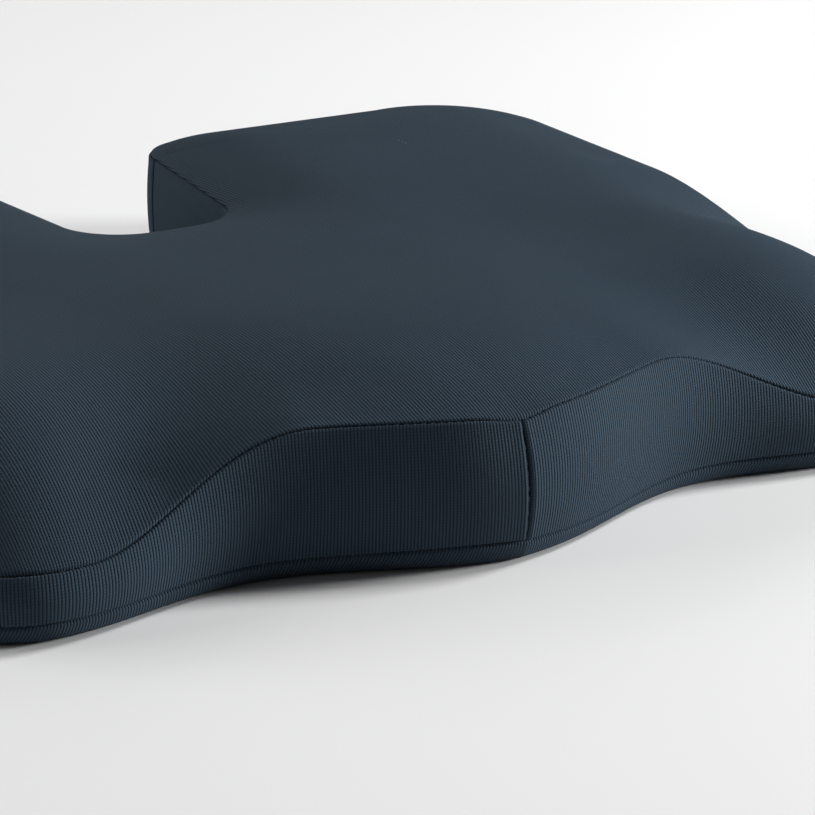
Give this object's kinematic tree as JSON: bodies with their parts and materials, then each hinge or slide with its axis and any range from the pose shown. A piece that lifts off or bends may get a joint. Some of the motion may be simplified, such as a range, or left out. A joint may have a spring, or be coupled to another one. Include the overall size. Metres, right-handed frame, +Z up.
{
  "type": "contoured foam cushion",
  "caption": "Contoured foam cushion with thigh recesses, a U-shaped notch in its back edge and a zipped knit cover over a lined foam core.",
  "frame": {"origin": "on the flat underside, on the cushion's middle plane, halfway along its depth", "axes": "+X to the right side that carries the zip, -Y to the front edge with the middle bulge, +Z up"},
  "size_m": [0.454, 0.3965, 0.0689],
  "materials": {
    "foam": "moulded memory foam",
    "liner": "thin grey stockinette",
    "knit_top": "slate navy ribbed knit, ribs running front to back",
    "knit_underside": "slate navy knit",
    "knit_front_left": "slate navy ribbed knit, ribs upright",
    "knit_front_right": "slate navy ribbed knit, ribs upright",
    "knit_zip_facing": "slate navy ribbed knit, ribs upright",
    "knit_rear_right": "slate navy ribbed knit, ribs upright",
    "knit_notch": "slate navy ribbed knit, ribs upright",
    "knit_rear_left": "slate navy ribbed knit, ribs upright",
    "tape_lower": "woven polyester tape",
    "tape_upper": "woven polyester tape",
    "coil_lower": "nylon coil",
    "coil_upper": "nylon coil",
    "stop_front": "moulded stop",
    "stop_rear": "moulded stop",
    "slider": "dark painted die-cast zinc",
    "pull": "dark painted die-cast zinc"
  },
  "bodies": {
    "cushion": {"foam_core": "foam", "inner_liner": "liner", "top_panel": "knit_top", "bottom_panel": "knit_underside", "front_band_left": "knit_front_left", "front_band_right": "knit_front_right", "zip_facing": "knit_zip_facing", "rear_band_right": "knit_rear_right", "notch_band": "knit_notch", "rear_band_left": "knit_rear_left", "zip_tape_lower": "tape_lower", "zip_tape_upper": "tape_upper", "zip_coil_lower": "coil_lower", "zip_coil_upper": "coil_upper", "zip_stop_front": "stop_front", "zip_stop_rear": "stop_rear"},
    "slider": {"zip_slider": "slider"},
    "pull": {"zip_pull": "pull"}
  },
  "joints": [
    {"name": "slider_travel", "type": "slide", "parent": "cushion", "child": "slider", "axis": [0, -1, 0], "range_m": [0, 0.223]},
    {"name": "pull_swing", "type": "hinge", "parent": "slider", "child": "pull", "pos_m": [0.22725, 0.1319, 0.014], "axis": [0, 0, 1], "range_deg": [0, 170]}
  ]
}
